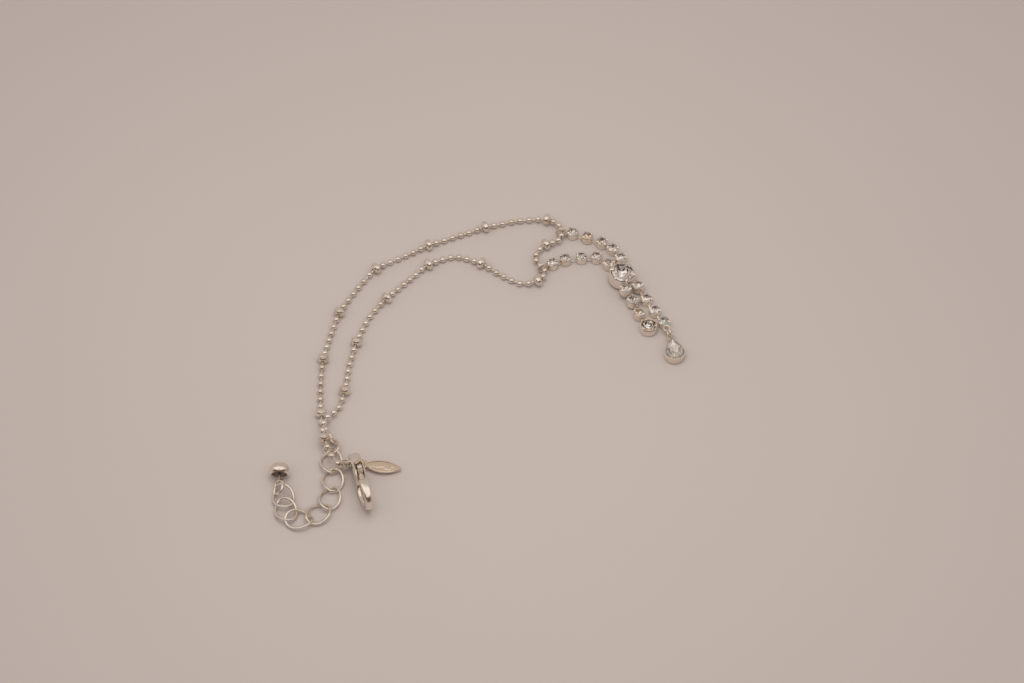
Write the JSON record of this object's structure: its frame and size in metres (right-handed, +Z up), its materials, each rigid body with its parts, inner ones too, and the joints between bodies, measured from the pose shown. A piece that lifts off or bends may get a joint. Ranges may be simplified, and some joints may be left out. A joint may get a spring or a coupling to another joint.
{
  "type": "rhinestone anklet",
  "caption": "Silver-plated anklet of satellite ball chain with rhinestone cup chain arms and drops, a lobster clasp and an extender chain, lying folded.",
  "frame": {"origin": "under the middle of the whole anklet, on the surface that it lies on", "axes": "+Z up from the surface, -Y from the ball chain's bend towards the clasp and extender, +X from the chain towards the drops"},
  "size_m": [0.093, 0.0886, 0.0079],
  "materials": {
    "silver": "bright silver plate",
    "rhinestone": "clear faceted glass with a foil back"
  },
  "bodies": {
    "anklet": {"ball_chain": "silver", "upper_arm": "silver", "lower_arm": "silver", "long_drop": "silver", "short_drop": "silver", "drop_ring": "silver", "big_cup": "silver", "big_stone": "rhinestone", "end_cup": "silver", "end_stone": "rhinestone", "pear_cup": "silver", "pear_stone": "rhinestone", "upper_stone_1": "rhinestone", "upper_stone_2": "rhinestone", "upper_stone_3": "rhinestone", "upper_stone_4": "rhinestone", "upper_stone_5": "rhinestone", "lower_stone_1": "rhinestone", "lower_stone_2": "rhinestone", "lower_stone_3": "rhinestone", "lower_stone_4": "rhinestone", "lower_stone_5": "rhinestone", "long_stone_1": "rhinestone", "long_stone_2": "rhinestone", "long_stone_3": "rhinestone", "long_stone_4": "rhinestone", "short_stone_1": "rhinestone", "short_stone_2": "rhinestone", "short_stone_3": "rhinestone", "extender_link_1": "silver", "extender_link_2": "silver", "extender_link_3": "silver", "extender_link_4": "silver", "extender_link_5": "silver", "extender_link_6": "silver", "extender_link_7": "silver", "end_ring": "silver", "end_bead": "silver", "end_pin": "silver", "clasp_body": "silver", "clasp_ring": "silver", "leaf_tag": "silver"},
    "lever": {"clasp_lever": "silver"}
  },
  "joints": [
    {"name": "clasp_lever_hinge", "type": "hinge", "parent": "anklet", "child": "lever", "pos_m": [-0.02659, -0.03111, 0.00475], "axis": [0.9555, 0.2904, -0.0523], "range_deg": [0, 20], "stiffness_Nm_per_rad": 0.001, "springref_deg": -17.19}
  ]
}
